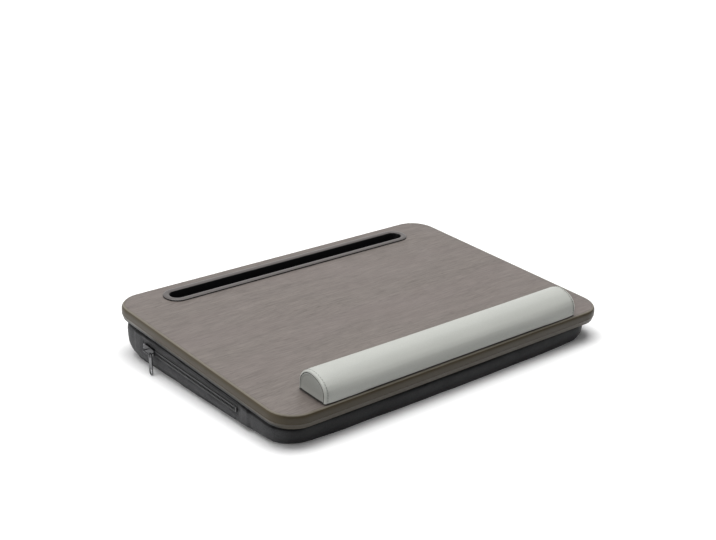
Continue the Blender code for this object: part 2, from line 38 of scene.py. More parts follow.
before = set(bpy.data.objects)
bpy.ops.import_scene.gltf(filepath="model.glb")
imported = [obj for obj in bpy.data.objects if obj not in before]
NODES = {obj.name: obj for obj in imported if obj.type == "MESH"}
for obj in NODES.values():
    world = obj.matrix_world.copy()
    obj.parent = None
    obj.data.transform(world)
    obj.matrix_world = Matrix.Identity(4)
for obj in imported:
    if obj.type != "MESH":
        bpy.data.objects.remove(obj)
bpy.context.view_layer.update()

# The board's own frame in the row frame: its top's middle and its tilt
BOARD_TILT = radians(4.1)
BOARD_PLACE = Vector((0.0029, -0.0006363, 0.059))
BOARD_MATRIX = Matrix.Translation(BOARD_PLACE) @ Matrix.Rotation(BOARD_TILT, 4, "X")
BOARD_UP = Vector((0, -sin(BOARD_TILT), cos(BOARD_TILT)))
BOARD_THICKNESS = 0.0178
FIXING_GAP = 0.0027

# The cushion's plan: its sides, its corners' radius, its middle, and a quarter of the way round it
CUSHION_LENGTH = 0.537
CUSHION_DEPTH = 0.3736
CUSHION_CORNER = 0.036
CUSHION_PLACE = Vector((-0.0005, 0.0020637, 0))
STRAIGHT_X = CUSHION_LENGTH / 2 - CUSHION_CORNER
STRAIGHT_Y = CUSHION_DEPTH / 2 - CUSHION_CORNER
CORNER_RUN = CUSHION_CORNER * pi / 2
QUARTER_RUN = STRAIGHT_X + STRAIGHT_Y + CORNER_RUN

# The zip's own frame, its two ends along it, and the window that it sits in
ZIP_LEFT = -0.269
ZIP_SLOPE = atan(0.66 * tan(BOARD_TILT))
ZIP_PLACE = Vector((ZIP_LEFT, -0.0006363, 0.0253753))
ZIP_MATRIX = Matrix.Translation(ZIP_PLACE) @ Matrix.Rotation(ZIP_SLOPE, 4, "X")
ZIP_FRONT = -0.097
ZIP_REAR = 0.123
WINDOW_HALF = 0.0063
WINDOW_DIP = 0.0014
WINDOW_SLOPE = 0.009

# Points nearer to each other than this are one point
WELD_DISTANCE = 0.00001
# CAD nodes keep a sharp edge where their faces turn by more than this
CREASE_ANGLE = radians(32)
# A padded piece's hull has its lowest points below this height
HULL_FOOT = 0.004


def clamped(value):
    return min(max(value, 0), 1)


def eased(share):
    """A share from zero to one, made to start and end slowly."""
    return share * share * (3 - 2 * share)


def shaded(colour, factor):
    return [factor * part for part in colour]


def cushion_top(y):
    """Height of the sloping top of the cushion at a place y in the row frame."""
    run = y - BOARD_PLACE.y
    return BOARD_PLACE.z + run * tan(BOARD_TILT) - (BOARD_THICKNESS + FIXING_GAP) / cos(BOARD_TILT)


# Sizes and colours that a user would change
class BoardLook(bpy.types.PropertyGroup):
    light_wood: bpy.props.FloatVectorProperty(
        name="Light wood",
        description="Pale streaks of the laminate",
        subtype="COLOR",
        default=(0.172, 0.146, 0.131),
    )
    dark_wood: bpy.props.FloatVectorProperty(
        name="Dark wood",
        description="Dark streaks of the laminate",
        subtype="COLOR",
        default=(0.079, 0.065, 0.056),
    )
    band: bpy.props.FloatVectorProperty(
        name="Edge band",
        description="Colour of the vinyl strip round the board",
        subtype="COLOR",
        default=(0.046, 0.035, 0.019),
    )
    tray: bpy.props.FloatVectorProperty(
        name="Slot tray",
        description="Colour of the moulded tray",
        subtype="COLOR",
        default=(0.006, 0.006, 0.0065),
    )
    # The grey of the painted reflection on the tray's rim top
    rim: bpy.props.FloatVectorProperty(
        name="Slot rim",
        description="Colour of the tray's raised rim",
        subtype="COLOR",
        default=(0.085, 0.076, 0.073),
    )


class RestLook(bpy.types.PropertyGroup):
    skin: bpy.props.FloatVectorProperty(
        name="Leatherette",
        description="Colour of the wrist rest's skin",
        subtype="COLOR",
        default=(0.49, 0.50, 0.466),
    )
    stitch: bpy.props.FloatProperty(
        name="Stitch length",
        description="Length of one stitch along a seam of the wrist rest",
        subtype="DISTANCE",
        unit="LENGTH",
        default=0.0026,
    )


class CushionLook(bpy.types.PropertyGroup):
    cloth: bpy.props.FloatVectorProperty(
        name="Cloth",
        description="Colour of the cushion's cloth",
        subtype="COLOR",
        default=(0.0215, 0.0215, 0.0226),
    )
    swell: bpy.props.FloatProperty(
        name="Swell",
        description="How far the cloth may swell from its slack shape",
        subtype="DISTANCE",
        unit="LENGTH",
        default=0.0040,
    )
    threads: bpy.props.FloatProperty(
        name="Threads",
        description="Threads in each metre of the cloth",
        default=1300,
    )


class ZipLook(bpy.types.PropertyGroup):
    metal: bpy.props.FloatVectorProperty(
        name="Metal",
        description="Colour of the slider and its pull",
        subtype="COLOR",
        default=(0.15, 0.15, 0.155),
    )
    # Paler than the real teeth: painted light against the shade in the window's pocket
    chain: bpy.props.FloatVectorProperty(
        name="Chain",
        description="Colour of the teeth",
        subtype="COLOR",
        default=(0.052, 0.052, 0.053),
    )


class StageLook(bpy.types.PropertyGroup):
    floor: bpy.props.FloatVectorProperty(
        name="Floor",
        description="Colour of the floor as the camera sees it",
        subtype="COLOR",
        default=(1.0, 1.0, 1.0),
    )
    lens: bpy.props.FloatProperty(
        name="Lens",
        description="Focal length of the camera in millimetres",
        subtype="DISTANCE_CAMERA",
        default=63.12,
    )


# Node building
def add_node(tree, kind, inputs=None, **settings):
    """A new node: its settings by name, and each input set to a value or linked to a socket."""
    node = tree.nodes.new(kind)
    node.location.x = 180 * len(tree.nodes)
    for key, value in settings.items():
        setattr(node, key, value)
    for key, value in (inputs or {}).items():
        if isinstance(value, bpy.types.NodeSocket):
            tree.links.new(value, node.inputs[key])
        else:
            node.inputs[key].default_value = value
    return node


def math(tree, operation, first, second=0.0, clamp=False):
    values = {0: first, 1: second}
    return add_node(tree, "ShaderNodeMath", values, operation=operation, use_clamp=clamp).outputs[0]


def product(tree, first, second):
    return math(tree, "MULTIPLY", first, second)


def remap(tree, value, low, high, to_low=0.0, to_high=1.0, smooth=False):
    """A value carried from one range to another, and held inside it."""
    kind = "SMOOTHSTEP" if smooth else "LINEAR"
    names = {"Value": value, "From Min": low, "From Max": high, "To Min": to_low, "To Max": to_high}
    return add_node(tree, "ShaderNodeMapRange", names, interpolation_type=kind).outputs["Result"]


def blend_colours(tree, factor, first, second):
    """A mix of two colours: sockets 0, 6 and 7 are the colour mix's factor and its two colours."""
    inputs = {0: factor}
    for index, colour in ((6, first), (7, second)):
        inputs[index] = colour if isinstance(colour, bpy.types.NodeSocket) else (*colour, 1)
    return add_node(tree, "ShaderNodeMix", inputs, data_type="RGBA").outputs[2]


def noise_value(tree, vector, scale, detail=3.0, roughness=0.55, distortion=0.0):
    inputs = {"Vector": vector, "Scale": scale, "Detail": detail}
    inputs |= {"Roughness": roughness, "Distortion": distortion}
    return add_node(tree, "ShaderNodeTexNoise", inputs).outputs["Fac"]


def stretched_noise(tree, vector, scales, detail=3.0, roughness=0.55):
    """Noise with a scale of its own along each axis."""
    inputs = {"Vector": vector, "Scale": scales}
    mapped = add_node(tree, "ShaderNodeMapping", inputs).outputs["Vector"]
    return noise_value(tree, mapped, 1.0, detail, roughness)


def vector_math(tree, operation, inputs, result="Vector"):
    return add_node(tree, "ShaderNodeVectorMath", inputs, operation=operation).outputs[result]


def axes_of(tree, vector):
    return add_node(tree, "ShaderNodeSeparateXYZ", {0: vector}).outputs


def new_group(name, amount, default, *results):
    """An empty shader group, from a vector and an amount to one number for each result."""
    tree = bpy.data.node_groups.new(name, "ShaderNodeTree")
    sockets = tree.interface
    sockets.new_socket("Vector", in_out="INPUT", socket_type="NodeSocketVector")
    made = sockets.new_socket(amount, in_out="INPUT", socket_type="NodeSocketFloat")
    made.default_value = default
    for result in results:
        sockets.new_socket(result, in_out="OUTPUT", socket_type="NodeSocketFloat")
    source = tree.nodes.new("NodeGroupInput").outputs
    return tree, source, tree.nodes.new("NodeGroupOutput").inputs


def wood_grain_group():
    """Thin streaks and short dark flecks that run along X, in metres."""
    tree, source, result = new_group("wood_grain", "Contrast", 1.0, "Tone", "Height")
    drift = stretched_noise(tree, source["Vector"], (2.2, 9, 9), detail=2)
    bend = add_node(tree, "ShaderNodeCombineXYZ", {"Y": product(tree, drift, 0.045)})
    bent = vector_math(tree, "ADD", {0: source["Vector"], 1: bend.outputs[0]})
    broad = stretched_noise(tree, bent, (5, 70, 70), detail=3, roughness=0.6)
    streak = stretched_noise(tree, bent, (32, 430, 430), detail=4, roughness=0.62)
    fleck = stretched_noise(tree, bent, (95, 820, 820), detail=2, roughness=0.5)
    mix = math(tree, "ADD", product(tree, broad, 0.32), product(tree, streak, 0.68))
    dark = remap(tree, fleck, 0.54, 0.68, 0, 0.42, smooth=True)
    tone = math(tree, "SUBTRACT", remap(tree, mix, 0.34, 0.64), dark)
    centred = product(tree, math(tree, "SUBTRACT", tone, 0.5), source["Contrast"])
    tree.links.new(math(tree, "ADD", centred, 0.5, clamp=True), result["Tone"])
    tree.links.new(math(tree, "SUBTRACT", streak, dark), result["Height"])
    return tree


def cloth_weave_group():
    """A plain weave on a map in metres: the threads' height, the yarn's fleck and rubbed spots."""
    tree, source, result = new_group("cloth_weave", "Threads", 1300.0, "Height", "Fleck", "Rub")
    axes = axes_of(tree, source["Vector"])
    turn = product(tree, source["Threads"], pi)
    along = math(tree, "SINE", product(tree, axes["X"], turn))
    across = math(tree, "SINE", product(tree, axes["Y"], turn))
    over = remap(tree, product(tree, along, across), -0.6, 0.6)
    warp = product(tree, math(tree, "ABSOLUTE", along), over)
    weft = product(tree, math(tree, "ABSOLUTE", across), math(tree, "SUBTRACT", 1.0, over))
    fleck = stretched_noise(tree, source["Vector"], (900, 260, 1), detail=3, roughness=0.7)
    cross = stretched_noise(tree, source["Vector"], (260, 900, 1), detail=3, roughness=0.7)
    rub = noise_value(tree, source["Vector"], 22, detail=4, roughness=0.6, distortion=0.4)
    tree.links.new(math(tree, "ADD", warp, weft), result["Height"])
    tree.links.new(product(tree, math(tree, "ADD", fleck, cross), 0.5), result["Fleck"])
    tree.links.new(rub, result["Rub"])
    return tree


def leather_grain_group():
    """The pebbled skin of leatherette, its finer creases, and the slow change of its tone."""
    tree, source, result = new_group("leather_grain", "Pebbles", 900.0, "Height", "Crease", "Tone")
    wander = noise_value(tree, source["Vector"], 700, detail=2)
    shift = add_node(tree, "ShaderNodeCombineXYZ", {"X": product(tree, wander, 0.0006)})
    moved = vector_math(tree, "ADD", {0: source["Vector"], 1: shift.outputs[0]})
    inputs = {"Vector": moved, "Scale": source["Pebbles"]}
    cells = add_node(tree, "ShaderNodeTexVoronoi", inputs, feature="DISTANCE_TO_EDGE").outputs
    crease = remap(tree, cells["Distance"], 0.0, 0.22, smooth=True)
    fine = noise_value(tree, source["Vector"], 2600, detail=2)
    tone = noise_value(tree, source["Vector"], 14, detail=4, roughness=0.6, distortion=0.5)
    tree.links.new(math(tree, "ADD", crease, product(tree, fine, 0.25)), result["Height"])
    tree.links.new(crease, result["Crease"])
    tree.links.new(tone, result["Tone"])
    return tree


def handling_group():
    """Faint smears and fine scuffs that change a smooth surface's gloss."""
    tree, source, result = new_group("handling", "Amount", 1.0, "Smear", "Scuff")
    smear = noise_value(tree, source["Vector"], 16, detail=5, roughness=0.62, distortion=0.8)
    scuff = stretched_noise(tree, source["Vector"], (240, 1900, 1900), detail=3, roughness=0.6)
    scratch = remap(tree, scuff, 0.66, 0.74, smooth=True)
    tree.links.new(product(tree, smear, source["Amount"]), result["Smear"])
    tree.links.new(product(tree, scratch, source["Amount"]), result["Scuff"])
    return tree


EFFECTS = {
    "wood_grain": wood_grain_group,
    "cloth_weave": cloth_weave_group,
    "leather_grain": leather_grain_group,
    "handling": handling_group,
}


def effect(tree, name, **inputs):
    """One of the shared groups, built the first time it is asked for, with its own values here."""
    group = bpy.data.node_groups.get(name) or EFFECTS[name]()
    return add_node(tree, "ShaderNodeGroup", inputs, node_tree=group).outputs


def new_finish(name, **shader_values):
    """A material with its shader's plain values set on the shader itself."""
    material = bpy.data.materials.new(name)
    material.use_nodes = True
    tree = material.node_tree
    shader = tree.nodes["Principled BSDF"]
    for key, value in shader_values.items():
        shader.inputs[key.replace("_", " ")].default_value = value
    return material, tree, shader


def set_colour(tree, shader, colour):
    tree.links.new(colour, shader.inputs["Base Color"])


def set_roughness(tree, shader, wear, low, high, span=(0.3, 0.7)):
    """Roughness from low to high, as the wear goes across its span."""
    tree.links.new(remap(tree, wear, *span, low, high), shader.inputs["Roughness"])


def set_bump(tree, shader, height, distance, strength):
    inputs = {"Height": height, "Distance": distance, "Strength": strength}
    bump = add_node(tree, "ShaderNodeBump", inputs)
    tree.links.new(bump.outputs["Normal"], shader.inputs["Normal"])


def object_space(tree):
    return add_node(tree, "ShaderNodeTexCoord").outputs["Object"]


def board_space(tree):
    """Object coordinates carried into the tilted board's own frame."""
    inputs = {"Vector": object_space(tree), "Location": BOARD_PLACE, "Rotation": (BOARD_TILT, 0, 0)}
    return add_node(tree, "ShaderNodeMapping", inputs, vector_type="TEXTURE").outputs["Vector"]


def cloth_space(tree):
    return add_node(tree, "ShaderNodeUVMap", uv_map="cloth").outputs["UV"]


# Finishes. Each pair of places, in the board's own frame, is where one colour gives way to another
BAND_TOP = (-0.0013, -0.0006)
BAND_SHADOW_FOOT = (-0.0152, -0.0146)
BAND_LEFT = (-0.273, -0.262)
RIM_REFLECTION_EDGE = (0.0012, 0.0020)
REST_CROWN = (0.024, 0.031)
REST_LOW = (0.003, 0.013)
WALL_LEFT = (-0.2705, -0.2500)
WALL_SEAM_SHADOW = (-0.0262, -0.0246)
# Black of the painted shadows at the edge band's foot and the wrist rest's foot
PAINTED_SHADOW_BLACK = (0.012, 0.012, 0.012)
REDDISH_WOOD = (0.138, 0.110, 0.104)
DARK_FIBRE = (0.24, 0.155, 0.085)
PALE_FIBRE = (0.42, 0.30, 0.19)
DARK_FILM = (0.020, 0.020, 0.021)
PALE_FILM = (0.040, 0.038, 0.036)
# Painted highlight along the edge band's top edge
PAINTED_HIGHLIGHT_VINYL = (0.21, 0.19, 0.155)
SCUFFED_PLASTIC = (0.12, 0.11, 0.11)


def walnut_finish(look):
    """Wood-look laminate: streaks along the board, a slow reddish change of tone, faint smears."""
    material, tree, shader = new_finish("walnut_laminate", Roughness=0.48)
    space = board_space(tree)
    grain = effect(tree, "wood_grain", Vector=space, Contrast=0.85)
    smear = effect(tree, "handling", Vector=space)["Smear"]
    colour = blend_colours(tree, grain["Tone"], look.dark_wood, look.light_wood)
    blush = stretched_noise(tree, space, (3, 14, 14), detail=2)
    tint = remap(tree, blush, 0.4, 0.65, 0, 0.35)
    set_colour(tree, shader, blend_colours(tree, tint, colour, REDDISH_WOOD))
    set_roughness(tree, shader, smear, 0.44, 0.54)
    set_bump(tree, shader, grain["Height"], 0.00012, 0.5)
    return material


def fibreboard_finish():
    material, tree, shader = new_finish("fibreboard", Roughness=0.9)
    fibres = noise_value(tree, object_space(tree), 1400, detail=4, roughness=0.7)
    set_colour(tree, shader, blend_colours(tree, fibres, DARK_FIBRE, PALE_FIBRE))
    set_bump(tree, shader, fibres, 0.0003, 0.6)
    return material


def backing_finish():
    material, tree, shader = new_finish("backing_film", Roughness=0.6)
    space = board_space(tree)
    smear = effect(tree, "handling", Vector=space)["Smear"]
    set_colour(tree, shader, blend_colours(tree, smear, DARK_FILM, PALE_FILM))
    set_roughness(tree, shader, smear, 0.5, 0.68)
    set_bump(tree, shader, noise_value(tree, space, 900, detail=2), 0.0001, 0.4)
    return material


def edge_finish(look):
    """Vinyl with painted light: a painted highlight on its top edge, a painted floor reflection on
    its bevel, a paler left run for the light from the left, and a painted black shadow at that
    run's foot.
    """
    material, tree, shader = new_finish("edge_vinyl", Roughness=0.4, Specular_IOR_Level=0.3)
    space = board_space(tree)
    axes = axes_of(tree, space)
    smear = effect(tree, "handling", Vector=space)["Smear"]
    # Painted highlight: the top edge is paler, a little varied by the smear
    top_edge = remap(tree, axes["Z"], *BAND_TOP, 0, 0.8, smooth=True)
    top_highlight = product(tree, top_edge, remap(tree, smear, 0.25, 0.6, 0.7, 1.0))
    body = blend_colours(tree, smear, shaded(look.band, 0.85), shaded(look.band, 1.15))
    # Painted light: the band's left run is paler, for the light that falls on it from the left
    on_left = remap(tree, axes["X"], *BAND_LEFT, 1, 0, smooth=True)
    left_run_lit = blend_colours(tree, on_left, body, shaded(look.band, 1.3))
    # Painted reflection: the lower bevel is paler and greyer, for the bright floor that it faces
    crease = remap(tree, on_left, 0, 1, -0.0112, -0.0118)
    on_bevel = remap(tree, math(tree, "SUBTRACT", axes["Z"], crease), -0.0006, 0, 1, 0, smooth=True)
    grey = sum(look.band) / 3
    bevel_reflection = blend_colours(tree, on_bevel, left_run_lit, [1.2 * part + 1.05 * grey for part in look.band])
    # Painted shadow: the foot of the left run is black, as the shadow gap under the band
    foot = product(tree, on_left, remap(tree, axes["Z"], *BAND_SHADOW_FOOT, 1, 0, smooth=True))
    below = blend_colours(tree, foot, bevel_reflection, PAINTED_SHADOW_BLACK)
    set_colour(tree, shader, blend_colours(tree, top_highlight, below, PAINTED_HIGHLIGHT_VINYL))
    set_roughness(tree, shader, smear, 0.36, 0.46)
    set_bump(tree, shader, noise_value(tree, space, 1300, detail=2), 0.00006, 0.5)
    return material


def tray_finish(look):
    """Black moulded plastic, with a painted reflection that makes its rim's top grey."""
    material, tree, shader = new_finish("tray_plastic", Roughness=0.3, Specular_IOR_Level=0.3)
    space = board_space(tree)
    height = axes_of(tree, space)["Z"]
    wear = effect(tree, "handling", Vector=space)
    # Painted reflection: the rim's top is grey, while its sides stay the trough's black
    on_rim = remap(tree, height, *RIM_REFLECTION_EDGE, smooth=True)
    rim_reflection = blend_colours(tree, on_rim, look.tray, look.rim)
    scuff = product(tree, wear["Scuff"], 0.3)
    set_colour(tree, shader, blend_colours(tree, scuff, rim_reflection, SCUFFED_PLASTIC))
    set_roughness(tree, shader, wear["Smear"], 0.26, 0.38)
    set_bump(tree, shader, noise_value(tree, space, 500, detail=2), 0.00004, 0.5)
    return material


def leatherette_finish(name, look, share, foot):
    """Pebbled sage-grey leatherette with painted shade in its grain's creases, a painted darker
    crown, a painted paler lower part and a painted black shadow up to its foot.
    """
    material, tree, shader = new_finish(name, Roughness=0.5, Sheen_Weight=0.08, Sheen_Roughness=0.5)
    grain = effect(tree, "leather_grain", Vector=object_space(tree), Pebbles=850.0)
    base = shaded(look.skin, share)
    slow = blend_colours(tree, grain["Tone"], shaded(base, 0.94), shaded(base, 1.04))
    # Painted shade in the grain's creases
    in_crease = remap(tree, grain["Crease"], 0, 1, 0.35, 0)
    crease_shaded = blend_colours(tree, in_crease, slow, shaded(base, 0.72))
    height = axes_of(tree, board_space(tree))["Z"]
    # Painted shade and light: the crown is darker and the lower part paler, against how the lamp
    # falls on them
    crown = remap(tree, height, *REST_CROWN, 1.0, 0.89, smooth=True)
    low = remap(tree, height, *REST_LOW, 1.22, 1.0, smooth=True)
    level = product(tree, crown, low)
    shade_levelled = vector_math(tree, "SCALE", {0: crease_shaded, "Scale": level})
    # Painted shadow: black up to the foot, as the contact shadow where the rest meets the board
    painted_contact_shadow = remap(tree, height, foot, foot + 0.0005, 0.97, 0, smooth=True)
    set_colour(tree, shader, blend_colours(tree, painted_contact_shadow, shade_levelled, PAINTED_SHADOW_BLACK))
    set_roughness(tree, shader, grain["Tone"], 0.44, 0.54)
    set_bump(tree, shader, grain["Height"], 0.00010, 0.5)
    return material


def cloth_finish(name, look, share=1.0):
    """Charcoal cloth of flecked yarn, with painted shade between its threads, painted light that
    makes its left wall paler, and a painted black shadow in the seam under the board.
    """
    values = {"Roughness": 0.6, "Specular_IOR_Level": 0.25, "Sheen_Weight": 0.03}
    material, tree, shader = new_finish(name, **values)
    base = shaded(look.cloth, share)
    weave = effect(tree, "cloth_weave", Vector=cloth_space(tree), Threads=look.threads)
    yarn = remap(tree, weave["Fleck"], 0.36, 0.64)
    flecked = blend_colours(tree, yarn, shaded(base, 0.62), shaded(base, 1.38))
    # Painted shade in the hollows between the threads
    thread_shade = remap(tree, weave["Height"], 0.15, 0.75, 0.45, 0)
    woven_shaded = blend_colours(tree, thread_shade, flecked, shaded(base, 0.4))
    axes = axes_of(tree, board_space(tree))
    # Painted light: the left wall is paler, for the light that falls on it from the left
    left_wall_lit = remap(tree, axes["X"], *WALL_LEFT, 2.6, 1.0, smooth=True)
    # Painted shadow: the cloth turns near black just under the board, as the shadow in the gap
    seam = remap(tree, axes["Z"], *WALL_SEAM_SHADOW, 1.0, 0.12, smooth=True)
    level = product(tree, left_wall_lit, seam)
    set_colour(tree, shader, vector_math(tree, "SCALE", {0: woven_shaded, "Scale": level}))
    set_roughness(tree, shader, weave["Rub"], 0.5, 0.62, span=(0.35, 0.65))
    set_bump(tree, shader, weave["Height"], 0.00012, 0.4)
    return material


def strip_finish(name, colour, threads):
    """Tape or strip webbing on object coordinates."""
    material, tree, shader = new_finish(name, Roughness=0.9, Specular_IOR_Level=0.3)
    weave = effect(tree, "cloth_weave", Vector=object_space(tree), Threads=threads)
    # Painted shade and light: the weave's hollows are darker and its threads' tops paler
    woven_shaded = blend_colours(tree, weave["Height"], shaded(colour, 0.5), shaded(colour, 1.5))
    set_colour(tree, shader, woven_shaded)
    set_roughness(tree, shader, weave["Rub"], 0.8, 0.95, span=(0.35, 0.65))
    set_bump(tree, shader, weave["Height"], 0.0002, 0.6)
    return material


def handled_finish(name, colour, roughness, pale, spread, grain, depth, metallic=0.0):
    """A smooth surface whose tone and gloss are a little uneven from handling."""
    material, tree, shader = new_finish(name, Metallic=metallic, Roughness=roughness)
    space = object_space(tree)
    smear = effect(tree, "handling", Vector=space)["Smear"]
    set_colour(tree, shader, blend_colours(tree, smear, shaded(colour, 0.85), shaded(colour, pale)))
    set_roughness(tree, shader, smear, spread[0] * roughness, spread[1] * roughness)
    set_bump(tree, shader, noise_value(tree, space, grain, detail=2), depth, 0.4)
    return material


def metal_finish(name, colour, roughness):
    return handled_finish(name, colour, roughness, 1.1, (0.7, 1.4), 1500, 0.00003, metallic=1.0)


def moulded_finish(name, colour, roughness):
    return handled_finish(name, colour, roughness, 1.15, (0.8, 1.2), 1400, 0.00005)


# Mesh helpers
def linked(name, data):
    """A new object in the scene, at the origin."""
    item = bpy.data.objects.new(name, data)
    bpy.context.scene.collection.objects.link(item)
    return item


def mesh_from(name, shape):
    """A mesh made from a bmesh, which is freed."""
    mesh = bpy.data.meshes.new(name)
    shape.to_mesh(mesh)
    shape.free()
    return mesh


def mesh_object(name, shape, body="desk"):
    """A smooth piece made from a bmesh, flat only on its tagged faces, that rides on a body."""
    flat = {face.index for face in shape.faces if face.tag}
    mesh = mesh_from(name, shape)
    mesh.shade_smooth()
    for index in flat:
        mesh.polygons[index].use_smooth = False
    piece = linked(name, mesh)
    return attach(piece, body)


def assign(piece, *materials):
    if piece.data.materials:
        piece.data.materials.clear()
    for material in materials:
        piece.data.materials.append(material)


def dress(material, *names):
    """Gives CAD nodes their finish, and smooth shading across their loose triangles."""
    for name in names:
        node = NODES[name]
        assign(node, material)
        for polygon in node.data.polygons:
            polygon.use_smooth = True
        weld = node.modifiers.new("weld", "WELD")
        weld.merge_threshold = WELD_DISTANCE
        split = node.modifiers.new("crease", "EDGE_SPLIT")
        split.split_angle = CREASE_ANGLE


def hull_of(names):
    """The closed hull round some CAD nodes."""
    shape = bmesh.new()
    for name in names:
        for vertex in NODES[name].data.vertices:
            shape.verts.new(vertex.co)
    bmesh.ops.remove_doubles(shape, verts=shape.verts, dist=WELD_DISTANCE)
    result = bmesh.ops.convex_hull(shape, input=shape.verts)
    inside = {item for item in result["geom_interior"] if isinstance(item, bmesh.types.BMVert)}
    bmesh.ops.delete(shape, geom=list(inside), context="VERTS")
    bmesh.ops.recalc_face_normals(shape, faces=shape.faces)
    return shape


def remeshed(piece, voxel):
    """The piece's mesh made anew from even voxels."""
    remesh = piece.modifiers.new("voxels", "REMESH")
    remesh.mode = "VOXEL"
    remesh.voxel_size = voxel
    apply_modifiers(piece)


def apply_modifiers(piece):
    graph = bpy.context.evaluated_depsgraph_get()
    mesh = bpy.data.meshes.new_from_object(piece.evaluated_get(graph))
    piece.modifiers.clear()
    old = piece.data
    piece.data = mesh
    mesh.name = old.name
    bpy.data.meshes.remove(old)


def points_of(mesh):
    flat = np.zeros(3 * len(mesh.vertices))
    mesh.vertices.foreach_get("co", flat)
    return flat.reshape(-1, 3)


def set_points(mesh, points):
    mesh.vertices.foreach_set("co", points.ravel())
    mesh.update()


def drawn_in(piece, distance):
    """Moves every point in along its normal."""
    normals = np.array([vertex.normal for vertex in piece.data.vertices])
    set_points(piece.data, points_of(piece.data) - distance * normals)


# The swelling: its frames, its pressure, and how far points may move inward and sideways, as shares
SWELL_FRAMES = 20
SWELL_PRESSURE = 4
SWELL_INWARD = 0.12
SWELL_SIDEWAYS = 0.15


def inflate(piece, reach):
    """Lets the piece swell as cloth under pressure round its filling, no point past its reach."""
    start = points_of(piece.data)
    normals = np.array([vertex.normal for vertex in piece.data.vertices])
    cloth = piece.modifiers.new("swelling", "CLOTH")
    cloth.settings.quality = 5
    cloth.settings.use_pressure = True
    cloth.settings.uniform_pressure_force = SWELL_PRESSURE
    cloth.settings.effector_weights.gravity = 0
    cloth.point_cache.frame_end = SWELL_FRAMES
    scene = bpy.context.scene
    for step in range(1, SWELL_FRAMES + 1):
        scene.frame_set(step)
    swollen = piece.evaluated_get(bpy.context.evaluated_depsgraph_get())
    moved = points_of(swollen.data) - start
    piece.modifiers.clear()
    scene.frame_set(1)
    outward = np.sum(moved * normals, axis=1, keepdims=True)
    sideways = moved - outward * normals
    outward = np.maximum(reach * np.tanh(outward / reach), -SWELL_INWARD * reach)
    slack = SWELL_SIDEWAYS * reach
    sideways *= slack / (slack + np.linalg.norm(sideways, axis=1, keepdims=True))
    set_points(piece.data, start + outward * normals + sideways)


def subdivided(piece):
    smooth = piece.modifiers.new("smooth", "SUBSURF")
    smooth.levels = 1
    smooth.render_levels = 1
    apply_modifiers(piece)
    piece.data.shade_smooth()


def cut_pocket(piece, low, high, matrix):
    """Cuts a box-shaped pocket out of the piece."""
    shape = bmesh.new()
    size = Vector(high) - Vector(low)
    middle = (Vector(high) + Vector(low)) / 2
    place = matrix @ Matrix.Translation(middle) @ Matrix.Diagonal((*size, 1))
    bmesh.ops.create_cube(shape, size=1, matrix=place)
    cutter = linked("pocket", mesh_from("pocket", shape))
    cut = piece.modifiers.new("pocket", "BOOLEAN")
    cut.operation = "DIFFERENCE"
    cut.object = cutter
    cut.solver = "EXACT"
    apply_modifiers(piece)
    bpy.data.objects.remove(cutter, do_unlink=True)


def deepened(shape, height_of, down):
    """Moves a hull's lowest points further down, to be cut off later."""
    for vertex in shape.verts:
        if height_of(vertex.co) < HULL_FOOT:
            vertex.co += down


def cut_level(shape, place, down):
    """Cuts a closed shape off at a plane and closes it there, with a sharp lower edge."""
    parts = list(shape.verts) + list(shape.edges) + list(shape.faces)
    plane = {"plane_co": place, "plane_no": down}
    cut = bmesh.ops.bisect_plane(shape, geom=parts, dist=WELD_DISTANCE, clear_outer=True, **plane)
    rim = [item for item in cut["geom_cut"] if isinstance(item, bmesh.types.BMEdge)]
    for face in bmesh.ops.holes_fill(shape, edges=rim, sides=0)["faces"]:
        face.smooth = False
        face.tag = True
    bmesh.ops.recalc_face_normals(shape, faces=shape.faces)
    shape.faces.index_update()


def trimmed(piece, place, down):
    """Cuts a finished piece off at a plane."""
    shape = bmesh.new()
    shape.from_mesh(piece.data)
    cut_level(shape, place, down)
    shape.to_mesh(piece.data)
    shape.free()


def add_stitch(shape, place, along, out, length, width, height):
    """One stitch: a short rounded thread that lies along a seam."""
    side = along.cross(out).normalized()
    turn = Matrix((along.normalized(), side, out.normalized())).transposed().to_4x4()
    size = Matrix.Diagonal((length / 2, width / 2, height / 2, 1))
    whole = Matrix.Translation(place) @ turn @ size
    bmesh.ops.create_uvsphere(shape, u_segments=8, v_segments=5, radius=1, matrix=whole)


# The cushion: the slants of a wall's normal, and a step on the map that crosses the map's start
WALL_SLANTS = (-0.766, 0.6)
MAP_JUMP = 0.5


def plan_distance(x, y):
    """How far round the cushion's plan a point is, in metres from the middle of its right side."""
    px = abs(x - CUSHION_PLACE.x)
    py = abs(y - CUSHION_PLACE.y)
    if px > STRAIGHT_X and py > STRAIGHT_Y:
        bend = asin(min(1, (py - STRAIGHT_Y) / max(hypot(px - STRAIGHT_X, py - STRAIGHT_Y), 1e-9)))
        run = STRAIGHT_Y + CUSHION_CORNER * bend
    elif px - STRAIGHT_X > py - STRAIGHT_Y:
        run = py
    else:
        run = STRAIGHT_Y + CORNER_RUN + STRAIGHT_X - px
    right = x > CUSHION_PLACE.x
    if y > CUSHION_PLACE.y:
        return run if right else 2 * QUARTER_RUN - run
    return 4 * QUARTER_RUN - run if right else 2 * QUARTER_RUN + run


